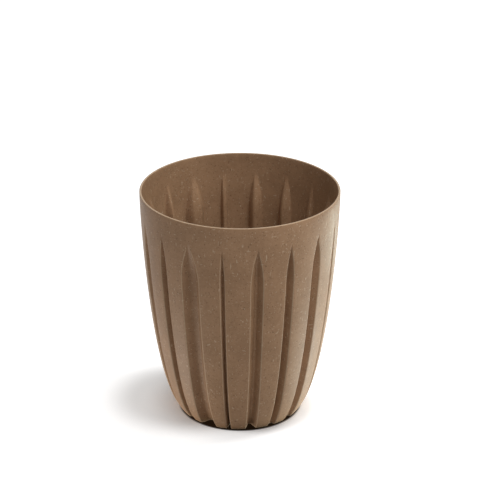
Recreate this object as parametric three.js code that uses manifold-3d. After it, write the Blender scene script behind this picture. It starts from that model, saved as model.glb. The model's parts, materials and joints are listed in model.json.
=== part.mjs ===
// Fluted plastic flower pot: one moulded body and four push-in drain plugs.
// Millimetres, +Z up. The origin is the centre of the circle that the pot stands on.
// The front of the pot looks along -Y, and flutes are counted anticlockwise from there.
import * as THREE from 'three';
import { mergeVertices } from 'three/addons/utils/BufferGeometryUtils.js';
import Module from 'manifold-3d';

const wasm = await Module();
wasm.setup();

// Driving dimensions of the body
const height = 238;
const rimRadius = 100;
const footRadius = 62.6;
const bellyReach = 27.6;
const bellyRise = 30;
const shoulderDrop = 41.5;
const wall = 2.2;
const rimRound = 0.6;
const plainBand = 23;

// Driving dimensions of the flutes
const fluteWidths = { slim: 5, middle: 9.5, broad: 13, wide: 20 };
const fluteRhythm = [
  'broad', 'middle', 'broad', 'slim', 'middle', 'wide', 'slim', 'broad', 'broad',
  'slim', 'wide', 'middle', 'broad', 'slim', 'broad', 'middle', 'wide', 'slim',
];
const fluteDepthTop = 7.5;
const fluteDepthFoot = 8.5;
const fluteDepthShare = 0.9;
const notchedFlutes = [16, 17, 0, 4, 5, 6, 10, 11, 12];
const runOutDepth = 2.5;
const runOutHeight = 15;
const fluteFootShare = 0.88;
const fluteTipLength = 42;
const valleyShare = 0.2;
const flankSteepness = 1.5;
const shoulderRound = 0.8;
const shoulderShare = 0.4;
const leastOpen = 0.2;

// Driving dimensions of the foot and the floor
const floorLift = 14;
const floorThickness = 2.5;
const footRound = 1;
const archHeight = 1.2;
const ribHeight = 3;
const ribThickness = 1.6;
const hubRadius = 7;
const hubSides = 32;

// Driving dimensions of the drain holes and plugs
const drainCount = 4;
const drainCircle = 30;
const drainRadius = 6;
const drainSides = 32;
const plugClearance = 0.3;
const plugTaper = 0.5;
const plugStem = 7.5;
const plugBore = 3.2;
const plugHeadRadius = 9;
const plugHead = 2.2;
const plugNeckRadius = 2.4;
const plugKnobRadius = 4;
const plugGrip = 3.2;
const plugRound = 0.5;
const plugSides = 20;

const flutes = fluteRhythm.map((name, index) => ({
  width: fluteWidths[name],
  notched: notchedFlutes.includes(index),
}));
const fluteTip = height - plainBand;
const floorTop = floorLift + floorThickness;
const overlapCut = 2;
const levelCrowding = 1.5;

// The land of the pot follows one curve from the foot to the upright rim.
const landCurve = new THREE.CubicBezierCurve(
  new THREE.Vector2(footRadius, 0),
  new THREE.Vector2(footRadius + bellyReach, bellyRise),
  new THREE.Vector2(rimRadius, height - shoulderDrop),
  new THREE.Vector2(rimRadius, height),
);

function landAt(z) {
  let low = 0;
  let high = 1;
  for (let halving = 0; halving < 30; halving += 1) {
    const middle = (low + high) / 2;
    if (landCurve.getPoint(middle).y < z) low = middle;
    else high = middle;
  }
  const tangent = landCurve.getTangent(low);
  return { radius: landCurve.getPoint(low).x, slope: tangent.x / tangent.y };
}

// Each flute is a groove with steep flanks and a flat valley. It opens from a pointed tip
// and keeps nearly its whole width down to the foot. There it ends in a notch or runs out.
// A slim flute starts shallow, and has the depth of the others only at the foot.
function fluteAt({ width, notched }, z) {
  const below = Math.max((fluteTip - z) / fluteTip, 0);
  const opening = THREE.MathUtils.clamp((fluteTip - z) / fluteTipLength, 0, 1);
  const half = (width / 2) * (1 - (1 - fluteFootShare) * below);
  const start = Math.min(fluteDepthTop, fluteDepthShare * width);
  const whole = THREE.MathUtils.lerp(start, fluteDepthFoot, below ** 2);
  const runOut = notched ? 1 : THREE.MathUtils.smoothstep(z, 0, runOutHeight);
  const depth = THREE.MathUtils.lerp(runOutDepth, whole, runOut);
  const valley = Math.max(valleyShare * half, half - depth / flankSteepness);
  return { half, depth, valley, open: 1 - (1 - opening) ** 2 };
}

// One side's stations across a flute: shoulder, top of the flank, edge of the valley.
// An inner skin, inset by the wall, makes the same flute a wider ridge with a flat crest.
function fluteStations(flute, z, inset) {
  const { half, depth, valley, open } = fluteAt(flute, z);
  const flank = half - valley;
  const spread = (inset * (Math.hypot(flank, depth) - flank)) / depth;
  const shown = Math.max(open, leastOpen);
  const edge = half * shown + spread;
  const crest = valley * shown + spread;
  const round = Math.min(shoulderRound, shoulderShare * (edge - crest));
  const sink = (s) => THREE.MathUtils.clamp((depth * (half * open + spread - s)) / flank, 0, depth * open);
  return [
    { s: edge + round, sink: 0 },
    { s: edge - round, sink: sink(edge - round) },
    { s: crest, sink: sink(crest) },
  ];
}

// One closed turn of the fluted wall: a point for each station, from the front anticlockwise.
// The lower edge lifts a little in each flute, so that water can leave under the foot.
function wallTurn(z, inset, shrink = 0, lift = 0) {
  const pitch = (2 * Math.PI) / flutes.length;
  const points = [];
  flutes.forEach((flute, k) => {
    const centre = (k + 0.5) * pitch;
    const side = fluteStations(flute, z, inset);
    const across = [
      ...side.map(({ s, sink }) => ({ s: -s, sink })),
      ...side.toReversed(),
      { s: null, sink: 0 },
    ];
    across.forEach(({ s, sink }) => {
      const level = z + lift * Math.min(sink / fluteDepthTop, 1);
      const land = landAt(level);
      const skin = land.radius - inset * Math.hypot(1, land.slope) - shrink;
      const angle = s === null ? (k + 1) * pitch : centre + s / land.radius;
      const radius = skin - sink;
      points.push(new THREE.Vector3(radius * Math.sin(angle), -radius * Math.cos(angle), level));
    });
  });
  return points;
}

// A closed surface through a list of turns, with a point on the axis at each end.
function lathedBody(start, turns, end) {
  const count = turns[0].length;
  const vertices = [start, ...turns.flat(), end];
  const positions = vertices.flatMap((v) => v.toArray());
  const at = (turn, column) => 1 + turn * count + (column % count);
  const last = vertices.length - 1;
  const faces = [];
  for (let c = 0; c < count; c += 1) {
    faces.push(0, at(0, c + 1), at(0, c));
    for (let t = 0; t + 1 < turns.length; t += 1) {
      faces.push(at(t, c), at(t, c + 1), at(t + 1, c + 1));
      faces.push(at(t, c), at(t + 1, c + 1), at(t + 1, c));
    }
    faces.push(at(turns.length - 1, c), at(turns.length - 1, c + 1), last);
  }
  const geometry = new THREE.BufferGeometry();
  geometry.setAttribute('position', new THREE.Float32BufferAttribute(positions, 3));
  geometry.setIndex(faces);
  return geometry;
}

// Levels between two heights, closer together towards the lower one.
function levels(low, high, count) {
  return Array.from({ length: count }, (_, i) => low + (high - low) * (i / (count - 1)) ** levelCrowding);
}

function potShell() {
  const tipFoot = fluteTip - fluteTipLength;
  const opening = [0.25, 0.5, 0.7, 0.85, 0.95, 1].map((share) => tipFoot + share * fluteTipLength);
  const outside = [
    wallTurn(0, 0, footRound, archHeight),
    ...[...levels(footRound + archHeight, tipFoot, 11), ...opening].map((z) => wallTurn(z, 0)),
    wallTurn(height - rimRound, 0),
    wallTurn(height, 0, rimRound),
  ];
  const inside = [
    wallTurn(height, wall, -rimRound),
    wallTurn(height - rimRound, wall),
    ...opening.toReversed().map((z) => wallTurn(z, wall)),
    ...levels(floorTop, tipFoot, 8).toReversed().map((z) => wallTurn(z, wall)),
  ];
  const underside = [
    wallTurn(floorLift, wall),
    wallTurn(floorLift / 2, wall),
    wallTurn(0, wall, 0, archHeight),
  ];
  return lathedBody(
    new THREE.Vector3(0, 0, floorLift),
    [...underside, ...outside, ...inside],
    new THREE.Vector3(0, 0, floorTop),
  );
}

function toSolid(geometry) {
  const plain = geometry.clone();
  plain.deleteAttribute('normal');
  plain.deleteAttribute('uv');
  const merged = mergeVertices(plain, 1e-4);
  return new wasm.Manifold(new wasm.Mesh({
    numProp: 3,
    vertProperties: new Float32Array(merged.attributes.position.array),
    triVerts: new Uint32Array(merged.index.array),
  }));
}

function toGeometry(solid) {
  const mesh = solid.getMesh();
  const geometry = new THREE.BufferGeometry();
  geometry.setAttribute('position', new THREE.Float32BufferAttribute(mesh.vertProperties, 3));
  geometry.setIndex(Array.from(mesh.triVerts));
  geometry.computeVertexNormals();
  return geometry;
}

function drainCentre(index) {
  const angle = ((index + 0.5) / drainCount) * 2 * Math.PI;
  return new THREE.Vector3(drainCircle * Math.sin(angle), -drainCircle * Math.cos(angle), 0);
}

// Ribs under the floor run from the hub to the foot, one between each two drain holes.
function floorRibs() {
  const reach = landAt(floorLift).radius - fluteDepthFoot - wall;
  const ribs = Array.from({ length: drainCount }, (_, index) => {
    const rib = new THREE.BoxGeometry(ribThickness, reach, ribHeight + floorThickness / 2);
    rib.translate(0, -reach / 2, floorLift - ribHeight / 2 + floorThickness / 4);
    return rib.rotateZ((index / drainCount) * 2 * Math.PI);
  });
  const hub = new THREE.CylinderGeometry(hubRadius, hubRadius, ribHeight + floorThickness / 2, hubSides);
  hub.rotateX(Math.PI / 2);
  hub.translate(0, 0, floorLift - ribHeight / 2 + floorThickness / 4);
  return [hub, ...ribs];
}

function drainHole(index) {
  const reach = floorThickness + 2 * overlapCut;
  const hole = new THREE.CylinderGeometry(drainRadius, drainRadius, reach, drainSides);
  hole.rotateX(Math.PI / 2);
  const { x, y } = drainCentre(index);
  return hole.translate(x, y, floorLift + floorThickness / 2);
}

function potBody() {
  let body = toSolid(potShell());
  floorRibs().forEach((rib) => {
    body = body.add(toSolid(rib));
  });
  for (let index = 0; index < drainCount; index += 1) {
    body = body.subtract(toSolid(drainHole(index)));
  }
  return toGeometry(body);
}

// A soft stopper: a hollow tapered stem in the hole, a round head under the floor, a knob to pull.
function drainPlug() {
  const seat = floorLift - plugClearance;
  const stem = drainRadius - plugClearance;
  const headFoot = seat - plugHead;
  const gripFoot = headFoot - plugGrip;
  const outline = [
    [0, seat],
    [plugBore, seat],
    [plugBore, seat + plugStem],
    [stem - plugTaper - plugRound, seat + plugStem],
    [stem - plugTaper, seat + plugStem - plugRound],
    [stem, seat],
    [plugHeadRadius - plugRound, seat],
    [plugHeadRadius, seat - plugRound],
    [plugHeadRadius, headFoot + plugRound],
    [plugHeadRadius - plugRound, headFoot],
    [plugNeckRadius, headFoot],
    [plugKnobRadius, gripFoot + plugGrip / 2],
    [plugKnobRadius, gripFoot + plugRound],
    [plugKnobRadius - plugRound, gripFoot],
    [0, gripFoot],
  ].map(([x, y]) => new THREE.Vector2(x, y));
  const geometry = new THREE.LatheGeometry(outline.toReversed(), plugSides);
  return geometry.rotateX(Math.PI / 2);
}

const composite = new THREE.MeshStandardMaterial({ color: '#86694f', roughness: 0.72, metalness: 0 });
const stopperRubber = new THREE.MeshStandardMaterial({ color: '#2c2722', roughness: 0.6, metalness: 0 });

const pot = new THREE.Group();

const body = new THREE.Mesh(potBody(), composite);
body.name = 'pot_body';
pot.add(body);

for (let index = 0; index < drainCount; index += 1) {
  const plug = new THREE.Mesh(drainPlug(), stopperRubber.clone());
  plug.name = `drain_plug_${index + 1}`;
  const { x, y } = drainCentre(index);
  plug.position.set(x, y, 0);
  pot.add(plug);
}

export default pot;
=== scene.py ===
import json
import math

import bmesh
import bpy
import numpy as np
from mathutils import Matrix, Vector

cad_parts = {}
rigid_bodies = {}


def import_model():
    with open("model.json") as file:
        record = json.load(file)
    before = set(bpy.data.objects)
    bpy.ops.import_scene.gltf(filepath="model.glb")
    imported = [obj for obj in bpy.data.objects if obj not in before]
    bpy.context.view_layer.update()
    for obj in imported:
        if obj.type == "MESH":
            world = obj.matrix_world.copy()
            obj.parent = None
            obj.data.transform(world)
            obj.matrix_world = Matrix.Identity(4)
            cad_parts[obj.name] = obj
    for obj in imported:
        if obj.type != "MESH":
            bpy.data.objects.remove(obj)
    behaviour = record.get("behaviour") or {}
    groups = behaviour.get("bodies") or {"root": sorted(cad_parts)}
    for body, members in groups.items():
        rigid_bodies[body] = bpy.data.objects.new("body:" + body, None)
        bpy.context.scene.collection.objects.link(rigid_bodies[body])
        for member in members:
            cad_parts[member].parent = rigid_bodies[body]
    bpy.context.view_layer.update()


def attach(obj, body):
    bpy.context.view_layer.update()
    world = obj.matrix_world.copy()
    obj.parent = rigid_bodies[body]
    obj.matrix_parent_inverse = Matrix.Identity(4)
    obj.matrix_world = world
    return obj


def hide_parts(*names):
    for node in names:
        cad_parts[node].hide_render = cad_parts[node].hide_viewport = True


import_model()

# The pot is one moulding of plastic filled with wood fibre. Its wall is fluted below an upright
# plain band, and curves in to a foot that is notched where some of the flutes end.
# The mould leaves a floor raised above the ground, with drain holes, ribs and a hub under it.
mm = 0.001
pot_height = 238 * mm
rim_radius = 99.998 * mm
foot_radius = 62.6 * mm
belly_reach = 27.6 * mm
belly_rise = 30 * mm
shoulder_drop = 41.5 * mm
wall = 2.2 * mm
rim_round = 0.7 * mm
plain_band = 23 * mm

flute_width = {"slim": 5 * mm, "middle": 9.5 * mm, "broad": 13 * mm, "wide": 20 * mm}
flute_rhythm = [
    "broad", "middle", "broad", "slim", "middle", "wide", "slim", "broad", "broad",
    "slim", "wide", "middle", "broad", "slim", "broad", "middle", "wide", "slim",
]
notched_flutes = (16, 17, 0, 4, 5, 6, 10, 11, 12)
flute_tip = pot_height - plain_band
flute_tip_length = 42 * mm
flute_depth_top = 7.5 * mm
flute_depth_foot = 8.5 * mm
flute_depth_share = 0.9
flute_foot_share = 0.88
run_out_depth = 2.5 * mm
run_out_height = 15 * mm
valley_share = 0.2
flank_steepness = 1.5
shoulder_round = 0.6 * mm
least_shoulder = 0.5 * mm
valley_round = 1.6 * mm
most_round_of_flank = 0.45
most_round_of_valley = 0.9
least_open = 0.2
tip_sharpness = 1.25

floor_lift = 14 * mm
floor_thickness = 2.5 * mm
floor_top = floor_lift + floor_thickness
floor_fillet = 1.6 * mm
foot_round = 1.0 * mm
foot_chamfer = 0.25 * mm
arch_height = 1.2 * mm
arch_fade = 5 * mm
rib_height = 3 * mm
rib_thickness = 1.6 * mm
rib_in_hub = 1.5 * mm
rib_short_of_hub = 0.03 * mm
hub_radius = 7 * mm
underside_round = 0.35 * mm
drain_circle = 30 * mm
drain_radius = 6 * mm
drain_edge = 0.4 * mm
round_corners = 48
touching = 1e-6

# Where the edges are paler, as wear with a painted highlight laid on: the flutes' shoulders, the rim,
# and the foot's lower edge.
outer_skin = 0.3 * mm
shoulder_wear_and_highlight_from = 1 * mm
rim_wear_and_highlight = 0.5 * mm
foot_wear_and_highlight = 1.2 * mm
foot_wear_and_highlight_height = 0.6 * mm
foot_wear_and_highlight_skin = 0.8 * mm

# Columns of faces on one side of a flute: valley, its fillet, flank, shoulder, land.
columns = {"valley": 1, "fillet": 4, "flank": 2, "shoulder": 6, "land": 5}
side_columns = sum(columns.values())
column_ends = np.cumsum([0, *columns.values()])
flute_pitch = math.tau / len(flute_rhythm)
flute_halves = np.array([flute_width[name] / 2 for name in flute_rhythm])
notched = np.isin(np.arange(len(flute_rhythm)), notched_flutes)

share = np.linspace(0, 1, 1200)
curve = (
    np.outer((1 - share) ** 3, (foot_radius, 0))
    + np.outer(3 * share * (1 - share) ** 2, (foot_radius + belly_reach, belly_rise))
    + np.outer(3 * share ** 2 * (1 - share), (rim_radius, pot_height - shoulder_drop))
    + np.outer(share ** 3, (rim_radius, pot_height))
)
curve_slope = np.gradient(curve[:, 0], curve[:, 1])


def land_radius(z):
    return np.interp(z, curve[:, 1], curve[:, 0])


def wall_stretch(z):
    return np.hypot(1, np.interp(z, curve[:, 1], curve_slope))


def ease(value):
    value = np.clip(value, 0, 1)
    return value * value * (3 - 2 * value)


# A flute's section at some height, on a skin that lies some depth under the outside of the wall:
# half-widths of its mouth and valley, depth, steepness of its flanks and its two roundings.
def flute_section(index, z, under):
    below = np.maximum((flute_tip - z) / flute_tip, 0)
    opening = np.clip((flute_tip - z) / flute_tip_length, 0, 1)
    half = flute_halves[index] * (1 - (1 - flute_foot_share) * below)
    start = np.minimum(flute_depth_top, 2 * flute_depth_share * flute_halves[index])
    depth = start + (flute_depth_foot - start) * below ** 2
    run_out = np.where(notched[index], 1, ease(z / run_out_height))
    depth = run_out_depth + (depth - run_out_depth) * run_out
    valley = np.maximum(valley_share * half, half - depth / flank_steepness)
    flank = half - valley
    widened = 1 - (1 - opening) ** 2
    spread = under * (np.hypot(flank, depth) - flank) / depth
    shown = np.maximum(widened, least_open)
    mouth = half * shown + spread
    floor_edge = valley * shown + spread
    run = mouth - floor_edge
    most_round = most_round_of_flank * run
    lip = np.minimum(np.maximum(shoulder_round - under / 2, least_shoulder), most_round)
    cove = np.minimum(valley_round + under / 2, most_round)
    cove = np.minimum(cove, most_round_of_valley * floor_edge)
    deepest = depth * widened ** tip_sharpness
    return mouth, floor_edge, deepest, lip, cove


def sink_at(across, section):
    mouth, floor_edge, deepest, lip, cove = section
    steepness = deepest / (mouth - floor_edge)
    return np.select(
        [
            across >= mouth + lip, across > mouth - lip,
            across >= floor_edge + cove, across > floor_edge - cove,
        ],
        [
            0 * across,
            steepness * (mouth + lip - across) ** 2 / (4 * lip),
            steepness * (mouth - across),
            deepest - steepness * (across - floor_edge + cove) ** 2 / (4 * cove),
        ],
        deepest,
    )


# Puts the points of the plain turned pot where the fluted one has them, with their share of pale edge,
# which is wear and painted highlight.
# A point's turn about the axis picks the flute and the place across it, and its radius says how
# deep in the wall it lies.
def flute_points(points):
    z = points[:, 2]
    plain = np.hypot(points[:, 0], points[:, 1])
    turn = np.arctan2(points[:, 0], -points[:, 1]) % math.tau
    past_seam = 1e-4
    index = (turn / flute_pitch + past_seam).astype(int) % len(flute_rhythm)
    centre = (index + 0.5) * flute_pitch
    offset = (turn - centre + math.pi) % math.tau - math.pi
    land = land_radius(z)
    under = np.maximum((land - plain) / wall_stretch(z), 0)
    section = flute_section(index, z, under)
    mouth, floor_edge, deepest, lip, cove = section
    stops = (
        0 * z, floor_edge - cove, floor_edge + cove, mouth - lip, mouth + lip, land * flute_pitch / 2,
    )
    column = np.abs(offset) / (flute_pitch / 2) * side_columns
    across = 0 * z
    for low, high, start, end in zip(column_ends, column_ends[1:], stops, stops[1:]):
        across = across + (end - start) * np.clip((column - low) / (high - low), 0, 1)
    sink = sink_at(across, section)
    lift = arch_height * np.clip(1 - z / arch_fade, 0, 1) * np.minimum(sink / flute_depth_top, 1)
    radius = plain - sink
    angle = centre + np.sign(offset) * across / land
    on_shoulder = np.clip(1 - np.abs(across - mouth) / lip, 0, 1)
    on_shoulder = on_shoulder * (under < outer_skin) * (deepest > shoulder_wear_and_highlight_from)
    on_rim = np.clip(1 - np.abs(z - pot_height) / rim_wear_and_highlight, 0, 1)
    on_foot = np.clip(1 - np.abs(z - foot_wear_and_highlight_height) / foot_wear_and_highlight, 0, 1) * (under < foot_wear_and_highlight_skin)
    placed = np.stack((radius * np.sin(angle), -radius * np.cos(angle), z + lift), axis=1)
    return placed, np.maximum(np.maximum(on_shoulder, on_rim), on_foot)


# The wall's outline in one plane, from the edge of the floor's underside down the inside of the
# foot, round its edge, up the outside, over the rim and down the inside to the floor. Its points
# lie closest where the flutes run out at the foot and where they come to their tips.
def wall_outline():
    inside_foot = (9.5, 6.5, 4.2, 2.4, 1.1, 0.4)
    outside_foot = (1.6, 2.4, 3.4, 4.6, 6, 7.6, 9.4, 11.4, 13.6, 16)
    belly_start, belly_end = 19.5 * mm, 168 * mm
    tips_start, tips_end = 172 * mm, 216 * mm
    band_start = 220 * mm
    inside_band_end = pot_height - 5 * mm
    inside_belly_end, inside_belly_start = 166 * mm, 22 * mm

    def inner(z, inset=0.0):
        return (land_radius(z) - wall * wall_stretch(z) - inset, z)

    def quarter(parts):
        return [part / parts * math.pi / 2 for part in range(parts + 1)]

    outline = [
        inner(floor_lift - floor_fillet * (1 - math.cos(turned)), floor_fillet * (1 - math.sin(turned)))
        for turned in quarter(4)
    ]
    outline += [inner(z * mm) for z in inside_foot]
    outline.append(inner(0, -foot_chamfer))
    stand = foot_radius - foot_round
    reach = land_radius(foot_round) - stand
    outline += [
        (stand + reach * math.sin(turned), foot_round * (1 - math.cos(turned))) for turned in quarter(5)
    ]
    outline += [(land_radius(z * mm), z * mm) for z in outside_foot]
    outline += [(land_radius(z), z) for z in np.linspace(belly_start, belly_end, 30)]
    outline += [(land_radius(z), z) for z in np.linspace(tips_start, tips_end, 18)]
    outline += [(land_radius(z), z) for z in np.linspace(band_start, pot_height - rim_round, 4)]
    rim_centre = rim_radius - rim_round
    outline += [
        (rim_centre + rim_round * math.cos(turned), pot_height - rim_round * (1 - math.sin(turned)))
        for turned in quarter(4)[1:]
    ]
    rim_centre = rim_radius - wall + rim_round
    outline += [
        (rim_centre - rim_round * math.sin(turned), pot_height - rim_round * (1 - math.cos(turned)))
        for turned in quarter(4)
    ]
    outline += [inner(z) for z in np.linspace(inside_band_end, band_start, 3)]
    outline += [inner(z) for z in np.linspace(tips_end, tips_start, 16)]
    outline += [inner(z) for z in np.linspace(inside_belly_end, inside_belly_start, 20)]
    outline += [
        inner(floor_top + floor_fillet * (1 - math.sin(turned)), floor_fillet * (1 - math.cos(turned)))
        for turned in quarter(4)
    ]
    return outline


pot_mesh = bmesh.new()
profile = [pot_mesh.verts.new((0, -radius, z)) for radius, z in wall_outline()]
profile_edges = [pot_mesh.edges.new(pair) for pair in zip(profile, profile[1:])]
bmesh.ops.spin(
    pot_mesh, geom=profile + profile_edges, cent=(0, 0, 0), axis=(0, 0, 1), angle=flute_pitch,
    steps=2 * side_columns, use_merge=False, use_duplicate=False,
)
bmesh.ops.spin(
    pot_mesh, geom=pot_mesh.verts[:] + pot_mesh.edges[:] + pot_mesh.faces[:], cent=(0, 0, 0),
    axis=(0, 0, 1), angle=math.tau, steps=len(flute_rhythm), use_merge=False, use_duplicate=True,
)
bmesh.ops.remove_doubles(pot_mesh, verts=pot_mesh.verts, dist=touching)
# Each point's share of the pale edge, which is wear and painted highlight.
wear_and_highlight = pot_mesh.verts.layers.float.new("edge_wear_and_highlight")
placed, worn_and_highlit_edges = flute_points(np.array([vert.co for vert in pot_mesh.verts]))
for vert, place, amount in zip(pot_mesh.verts, placed, worn_and_highlit_edges):
    vert.co = place
    vert[wear_and_highlight] = amount


def ring(mesh, radius, centre, z):
    made = bmesh.ops.create_circle(mesh, radius=radius, segments=round_corners, cap_ends=False)
    bmesh.ops.translate(mesh, verts=made["verts"], vec=(centre[0], centre[1], z))
    return list({edge for vert in made["verts"] for edge in vert.link_edges})


drain_centres = []
for corner in range(4):
    turn = (corner + 0.5) * math.pi / 2
    drain_centres.append((drain_circle * math.sin(turn), -drain_circle * math.cos(turn)))
open_edges = [edge for edge in pot_mesh.edges if edge.is_boundary]
floor_middle = floor_lift + floor_thickness / 2
upper_edges = [edge for edge in open_edges if edge.verts[0].co.z > floor_middle]
lower_edges = [edge for edge in open_edges if edge.verts[0].co.z < floor_middle]
for centre in drain_centres:
    hole = [
        ring(pot_mesh, drain_radius + drain_edge, centre, floor_top),
        ring(pot_mesh, drain_radius, centre, floor_top - drain_edge),
        ring(pot_mesh, drain_radius, centre, floor_lift + drain_edge),
        ring(pot_mesh, drain_radius + drain_edge, centre, floor_lift),
    ]
    for above, under in zip(hole, hole[1:]):
        bmesh.ops.bridge_loops(pot_mesh, edges=above + under)
    upper_edges += hole[0]
    lower_edges += hole[-1]
for edges in (upper_edges, lower_edges):
    bmesh.ops.triangle_fill(
        pot_mesh, use_beauty=True, use_dissolve=False, edges=edges, normal=(0, 0, 1),
    )
bmesh.ops.recalc_face_normals(pot_mesh, faces=pot_mesh.faces)


# The ribs and the hub grow out of the underside of the floor and end in its thickness. A rib is a
# hair shallower than the hub that it ends in, so no two faces lie in one plane.
def add_rib(mesh, corner):
    start = hub_radius - rib_in_hub
    reach = land_radius(floor_lift) - wall - flute_depth_foot
    foot = floor_lift - rib_height + rib_short_of_hub
    made = bmesh.ops.create_cube(mesh, size=1)
    bmesh.ops.scale(mesh, verts=made["verts"], vec=(rib_thickness, reach - start, floor_middle - foot))
    bmesh.ops.translate(
        mesh, verts=made["verts"], vec=(0, -(start + reach) / 2, (foot + floor_middle) / 2),
    )
    edges = list({edge for vert in made["verts"] for edge in vert.link_edges})
    rounded = bmesh.ops.bevel(
        mesh, geom=edges, offset=underside_round, affect="EDGES", segments=2, profile=0.5, material=-1,
    )
    kept = {vert for vert in made["verts"] if vert.is_valid}
    bmesh.ops.rotate(
        mesh, verts=list(kept.union(rounded["verts"])), cent=(0, 0, 0),
        matrix=Matrix.Rotation(corner * math.pi / 2, 3, "Z"),
    )


for corner in range(4):
    add_rib(pot_mesh, corner)
hub = bmesh.ops.create_cone(
    pot_mesh, cap_ends=True, segments=round_corners, radius1=hub_radius, radius2=hub_radius,
    depth=rib_height + floor_thickness / 2,
)
bmesh.ops.translate(
    pot_mesh, verts=hub["verts"], vec=(0, 0, floor_lift - rib_height / 2 + floor_thickness / 4),
)
hub_edges = [edge for edge in {edge for vert in hub["verts"] for edge in vert.link_edges}
             if abs(edge.verts[0].co.z - edge.verts[1].co.z) < touching]
bmesh.ops.bevel(
    pot_mesh, geom=hub_edges, offset=underside_round, affect="EDGES", segments=2, profile=0.5,
    material=-1,
)

for face in pot_mesh.faces:
    face.smooth = True
pot_data = bpy.data.meshes.new("pot")
pot_mesh.to_mesh(pot_data)
pot_mesh.free()
pot = bpy.data.objects.new("pot", pot_data)
bpy.context.scene.collection.objects.link(pot)


class Value:
    """A number or colour that changes over the surface, with Python's operators for its maths."""

    def __init__(self, finish, socket):
        self.finish = finish
        self.socket = socket

    def joined(self, operation, first, second):
        return self.finish.node("ShaderNodeMath", {"operation": operation}, {0: first, 1: second})

    def __add__(self, other):
        return self.joined("ADD", self, other)

    def __radd__(self, other):
        return self.joined("ADD", other, self)

    def __sub__(self, other):
        return self.joined("SUBTRACT", self, other)

    def __rsub__(self, other):
        return self.joined("SUBTRACT", other, self)

    def __mul__(self, other):
        return self.joined("MULTIPLY", self, other)

    def __rmul__(self, other):
        return self.joined("MULTIPLY", other, self)


class Finish:
    """A material for one finish, built from its Principled shader."""

    def __init__(self, name, **sockets):
        self.material = bpy.data.materials.new(name)
        self.material.use_nodes = True
        self.tree = self.material.node_tree
        self.shader = self.tree.nodes["Principled BSDF"]
        for socket, value in sockets.items():
            self.shader.inputs[socket.replace("_", " ")].default_value = value
        self.place = self.node("ShaderNodeTexCoord", output="Object")

    def node(self, kind, settings=None, sockets=None, output=0):
        made = self.tree.nodes.new(kind)
        for name, value in (settings or {}).items():
            setattr(made, name, value)
        for name, value in (sockets or {}).items():
            if isinstance(value, Value):
                self.tree.links.new(value.socket, made.inputs[name])
            else:
                made.inputs[name].default_value = value
        return Value(self, made.outputs[output])

    def noise(self, scale, detail, roughness, stretch=None, turn=(0, 0, 0)):
        place = self.place
        if stretch:
            place = self.node(
                "ShaderNodeMapping", {}, {"Vector": place, "Scale": stretch, "Rotation": turn},
            )
        return self.node(
            "ShaderNodeTexNoise", {},
            {"Vector": place, "Scale": scale, "Detail": detail, "Roughness": roughness}, "Fac",
        )

    def band(self, value, low, high):
        return self.node(
            "ShaderNodeMapRange", {"interpolation_type": "SMOOTHSTEP"},
            {"Value": value, "From Min": low, "From Max": high},
        )

    def blend(self, amount, first, second):
        return self.node(
            "ShaderNodeMix", {"data_type": "RGBA"}, {0: amount, 6: first, 7: second}, 2,
        )

    def feed(self, socket, value):
        self.tree.links.new(value.socket, self.shader.inputs[socket])


# The fibres show as fine pale and dark flecks, lying every way, in a brown that clouds a little.
# The plastic is satin, and paler along its edges, with wear and a painted highlight.
composite = Finish("fibre_composite", Roughness=0.45, Specular_IOR_Level=0.15)
brown, light_brown = (0.300, 0.177, 0.099, 1), (0.345, 0.206, 0.117, 1)
dark_fibre, pale_fibre_and_highlight = (0.120, 0.066, 0.036, 1), (0.620, 0.490, 0.350, 1)
clouds = composite.noise(40, 3, 0.55)
mottle = composite.noise(260, 2, 0.5)
grain = composite.noise(1400, 1, 0.5)
cloudiness = composite.band(0.6 * clouds + 0.4 * mottle, 0.38, 0.62)
body_tone = composite.blend(cloudiness, brown, light_brown)
dark_flecks = composite.band(composite.noise(560, 1, 0.5), 0.64, 0.72)
pale_flecks = composite.band(composite.noise(760, 0, 0.5), 0.76, 0.82)
fibres = composite.band(composite.noise(700, 0, 0.5, (1, 1, 0.3), (0.5, 0.2, 0)), 0.76, 0.82)
cross_fibres = composite.band(composite.noise(700, 0, 0.5, (0.4, 0.4, 1), (0, 0.3, 0.4)), 0.76, 0.82)
tone = composite.blend(0.5 * dark_flecks, body_tone, dark_fibre)
tone = composite.blend(0.45 * pale_flecks, tone, pale_fibre_and_highlight)
tone = composite.blend(0.4 * fibres, tone, pale_fibre_and_highlight)
tone = composite.blend(0.35 * cross_fibres, tone, pale_fibre_and_highlight)
# Painted highlight with wear: a pale line along the shoulders, the rim and the foot's edge.
worn_and_highlit = composite.node("ShaderNodeAttribute", {"attribute_name": "edge_wear_and_highlight"}, output="Fac")
composite.feed("Base Color", composite.blend(0.42 * worn_and_highlit, tone, pale_fibre_and_highlight))
composite.feed("Roughness", 0.38 + 0.10 * mottle + 0.06 * grain - 0.05 * worn_and_highlit)
composite.feed("Normal", composite.node(
    "ShaderNodeBump", {},
    {"Strength": 0.3, "Distance": 0.3 * mm, "Height": 0.6 * grain + 0.4 * mottle - 0.4 * dark_flecks},
))
pot_data.materials.append(composite.material)
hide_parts("pot_body")
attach(pot, "pot")

# Each drain hole is stopped from below by a plug of soft dark rubber: a hollow tapered stem in
# the hole, a round head against the floor, and a small knob on a neck to pull it out by.
plug_clearance = 0.3 * mm
plug_taper = 0.5 * mm
plug_stem = 7.5 * mm
plug_stem_root = 0.1 * mm
plug_bore = 3.2 * mm
plug_bore_edge = 0.3 * mm
plug_bore_floor = 0.2 * mm
plug_head_radius = 9 * mm
plug_head = 2.2 * mm
plug_neck_radius = 2.4 * mm
plug_neck_fillet = 0.4 * mm
plug_neck_flare = 0.5 * mm
plug_knob_radius = 4 * mm
plug_grip = 3.2 * mm
plug_round = 0.5 * mm
plug_corners = 56


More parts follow.
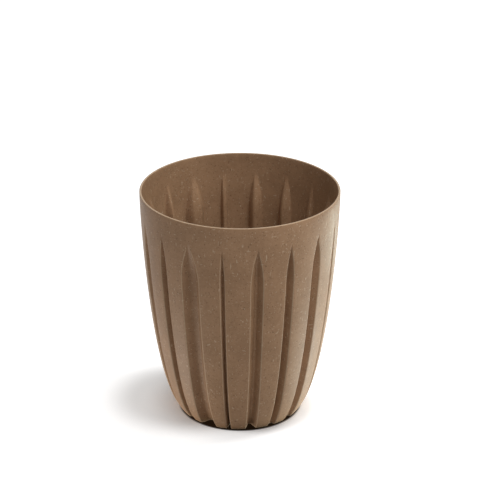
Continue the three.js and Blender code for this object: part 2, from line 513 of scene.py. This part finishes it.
def plug_outline():
    seat = floor_lift - plug_clearance
    stem = drain_radius - plug_clearance
    head_foot = seat - plug_head
    grip_foot = head_foot - plug_grip

    def corner(radius, z, start, parts=4):
        turns = [math.radians(start + 90 * part / parts) for part in range(parts + 1)]
        return [
            (radius + plug_round * math.cos(turn), z + plug_round * math.sin(turn)) for turn in turns
        ]

    bore_floor = seat + plug_bore_floor
    stem_top = seat + plug_stem
    outline = [
        (0, bore_floor), (plug_bore - plug_bore_edge, bore_floor),
        (plug_bore, bore_floor + plug_bore_edge), (plug_bore, stem_top - plug_bore_edge),
        (plug_bore + plug_bore_edge, stem_top),
    ]
    outline += list(reversed(corner(stem - plug_taper - plug_round, stem_top - plug_round, 0)))
    outline += [(stem, seat + plug_stem_root + plug_round), (stem + plug_stem_root, seat)]
    outline += list(reversed(corner(plug_head_radius - plug_round, seat - plug_round, 0)))
    outline += list(reversed(corner(plug_head_radius - plug_round, head_foot + plug_round, 270)))
    outline += [
        (plug_neck_radius + plug_neck_fillet, head_foot),
        (plug_neck_radius, head_foot - plug_neck_fillet),
        (plug_neck_radius + plug_neck_flare, head_foot - plug_neck_fillet - plug_neck_flare),
    ]
    outline.append((plug_knob_radius, grip_foot + plug_grip / 2))
    outline += list(reversed(corner(plug_knob_radius - plug_round, grip_foot + plug_round, 270)))
    outline.append((0, grip_foot))
    return outline


stopper = Finish("stopper_rubber", Roughness=0.55, Specular_IOR_Level=0.4)
bloom = stopper.noise(120, 3, 0.6)
rubber, pale_rubber = (0.018, 0.015, 0.013, 1), (0.036, 0.030, 0.026, 1)
stopper.feed("Base Color", stopper.blend(stopper.band(bloom, 0.35, 0.75), rubber, pale_rubber))
stopper.feed("Roughness", 0.48 + 0.2 * bloom)
skin_grain = stopper.noise(1500, 1, 0.5)
stopper.feed("Normal", stopper.node(
    "ShaderNodeBump", {}, {"Strength": 0.2, "Distance": 0.2 * mm, "Height": skin_grain},
))

for number, (x, y) in enumerate(drain_centres, 1):
    plug_mesh = bmesh.new()
    outline = [plug_mesh.verts.new((radius, 0, z)) for radius, z in plug_outline()]
    edges = [plug_mesh.edges.new(pair) for pair in zip(outline, outline[1:])]
    bmesh.ops.spin(
        plug_mesh, geom=outline + edges, cent=(0, 0, 0), axis=(0, 0, 1), angle=math.tau,
        steps=plug_corners, use_merge=True, use_duplicate=False,
    )
    bmesh.ops.remove_doubles(plug_mesh, verts=plug_mesh.verts, dist=touching)
    bmesh.ops.recalc_face_normals(plug_mesh, faces=plug_mesh.faces)
    bmesh.ops.translate(plug_mesh, verts=plug_mesh.verts, vec=(x, y, 0))
    for face in plug_mesh.faces:
        face.smooth = True
    plug_data = bpy.data.meshes.new(f"plug_{number}")
    plug_mesh.to_mesh(plug_data)
    plug_mesh.free()
    plug = bpy.data.objects.new(f"plug_{number}", plug_data)
    bpy.context.scene.collection.objects.link(plug)
    plug_data.materials.append(stopper.material)
    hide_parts(f"drain_plug_{number}")
    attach(plug, f"plug_{number}")

# The pot stands on a white sweep. Seen straight or in a reflection it glows to white from a hand's
# width outwards.
# Its glow is lowered to paint shade: a painted shade round the foot, a painted shadow on the left that
# joins the soft shadow a lamp casts there, and a faint painted shade beside the foot on the right.
# Under the pot the paper is painted dark and does not glow, as painted shade.
sweep_reach = 6
sweep_mesh = bmesh.new()
bmesh.ops.create_grid(sweep_mesh, x_segments=1, y_segments=1, size=sweep_reach)
sweep_data = bpy.data.meshes.new("sweep")
sweep_mesh.to_mesh(sweep_data)
sweep_mesh.free()
sweep = bpy.data.objects.new("sweep", sweep_data)
bpy.context.scene.collection.objects.link(sweep)
paper = Finish("white_sweep", Roughness=0.9, Specular_IOR_Level=0.0, Emission_Strength=1.0)


def away_from(x, y):
    return paper.node(
        "ShaderNodeVectorMath", {"operation": "DISTANCE"}, {0: paper.place, 1: (x, y, 0)}, "Value",
    )


camera_ray, glossy_ray, transmission_ray = [
    paper.node("ShaderNodeLightPath", output=ray)
    for ray in ("Is Camera Ray", "Is Glossy Ray", "Is Transmission Ray")
]
# Painted shade: the paper is dark and without glow under the pot and just past the foot.
past_painted_shade_under_pot = paper.band(away_from(0, -3 * mm), 61.8 * mm, 65 * mm)
# Painted shade and shadow: each ring lowers the glow near the foot, on the left and beside the foot.
past_painted_shade_round_foot = paper.band(away_from(0, 0), 53 * mm, 106 * mm)
past_painted_shadow_left = paper.band(away_from(-60 * mm, 4 * mm), 46 * mm, 90 * mm)
past_painted_shade_beside_foot = paper.band(away_from(22 * mm, -16 * mm), 44 * mm, 62 * mm)
painted_shade_under_pot, white_paper = (0.06, 0.04, 0.026, 1), (0.8, 0.8, 0.8, 1)
paper.feed("Base Color", paper.blend(past_painted_shade_under_pot, painted_shade_under_pot, white_paper))
seen = camera_ray + glossy_ray + transmission_ray
# The glow, lowered where shade is painted.
glow_with_painted_shade = 0.32 * past_painted_shade_round_foot + 0.39 * past_painted_shadow_left + 0.29 * past_painted_shade_beside_foot - 0.19
paper.feed("Emission Color", seen * past_painted_shade_under_pot * glow_with_painted_shade)
sweep_data.materials.append(paper.material)

# The room round the pot gives it a weak even light from every side. Seen straight, in gloss or
# through glass it is plain white, as the paper is.
world = bpy.data.worlds.new("studio")
bpy.context.scene.world = world
world.use_nodes = True
world_nodes = world.node_tree.nodes
world_links = world.node_tree.links
room = world_nodes["Background"]
room.inputs["Color"].default_value = (1, 1, 1, 1)
room.inputs["Strength"].default_value = 0.3
white = world_nodes.new("ShaderNodeBackground")
white.inputs["Color"].default_value = (1, 1, 1, 1)
white.inputs["Strength"].default_value = 1
path = world_nodes.new("ShaderNodeLightPath")
straight_or_glossy = world_nodes.new("ShaderNodeMath")
any_seen = world_nodes.new("ShaderNodeMath")
pick = world_nodes.new("ShaderNodeMixShader")
world_links.new(path.outputs["Is Camera Ray"], straight_or_glossy.inputs[0])
world_links.new(path.outputs["Is Glossy Ray"], straight_or_glossy.inputs[1])
world_links.new(straight_or_glossy.outputs[0], any_seen.inputs[0])
world_links.new(path.outputs["Is Transmission Ray"], any_seen.inputs[1])
world_links.new(any_seen.outputs[0], pick.inputs[0])
world_links.new(room.outputs[0], pick.inputs[1])
world_links.new(white.outputs[0], pick.inputs[2])
world_links.new(pick.outputs[0], world_nodes["World Output"].inputs["Surface"])


# The studio's soft boxes are named for where they stand, and each is turned to the axis. One lights
# the sweep alone, so that it shows one soft shadow. The others light the pot alone, and the two
# that stand below the table's top do it as a white table would, so the sweep doesn't stop them.
pieces = bpy.data.collections.new("pieces")
floor = bpy.data.collections.new("floor")
for piece in bpy.context.scene.objects:
    if piece.type == "MESH":
        (floor if piece == sweep else pieces).objects.link(piece)


def soft_box(name, azimuth, distance, height, power, size, aim=0.12, lit=pieces, colour=(1, 1, 1)):
    lamp = bpy.data.lights.new(name, "AREA")
    lamp.size = size
    lamp.energy = power
    lamp.color = colour
    box = bpy.data.objects.new(name, lamp)
    bpy.context.scene.collection.objects.link(box)
    turn = math.radians(azimuth)
    box.location = (distance * math.sin(turn), -distance * math.cos(turn), height)
    box.rotation_euler = (Vector((0, 0, aim)) - box.location).to_track_quat("-Z", "Y").to_euler()
    box.light_linking.receiver_collection = lit
    if height < 0:
        box.light_linking.blocker_collection = pieces


soft_box("sweep_right", 105, 0.8, 1.506, 12, 0.45, lit=floor)
soft_box("high_right", 35, 0.676, 1.57, 12.6, 0.6)
soft_box("right_key", 60, 1.071, 1.309, 4, 0.6)
soft_box("upper_right", 100, 1.226, 1.148, 3.8, 0.4, colour=(0.92, 1, 0.95))
soft_box("side_right", 95, 0.35, 0.04, 0.16, 0.08, 0.08, colour=(0.88, 1, 0.96))
soft_box("back_right", 122, 0.4, 0.03, 0.36, 0.1, 0.06, colour=(0.84, 1, 0.88))
soft_box("table_right", 98, 0.26, -0.09, 0.7, 0.15, 0.04, colour=(0.87, 1, 0.94))
soft_box("table_left", -75, 0.24, -0.09, 0.38, 0.15, 0.02, colour=(1, 0.97, 0.9))

# The camera stands where the photograph's perspective puts it, well back and a little above the
# rim, and looks down at the front of the pot.
camera_data = bpy.data.cameras.new("camera")
camera = bpy.data.objects.new("camera", camera_data)
bpy.context.scene.collection.objects.link(camera)
camera_reach = 1.8
camera_rise = math.radians(23.94)
camera_lens = 134.11
camera_aim = Vector((0.0001, 0, 0.18236))
camera.location = camera_aim + camera_reach * Vector((0, -math.cos(camera_rise), math.sin(camera_rise)))
camera.rotation_euler = (math.radians(90) - camera_rise, 0, 0)
camera_data.sensor_width = 36
camera_data.lens = camera_lens
camera_data.clip_end = 100
bpy.context.scene.camera = camera
bpy.context.scene.view_settings.view_transform = "Standard"
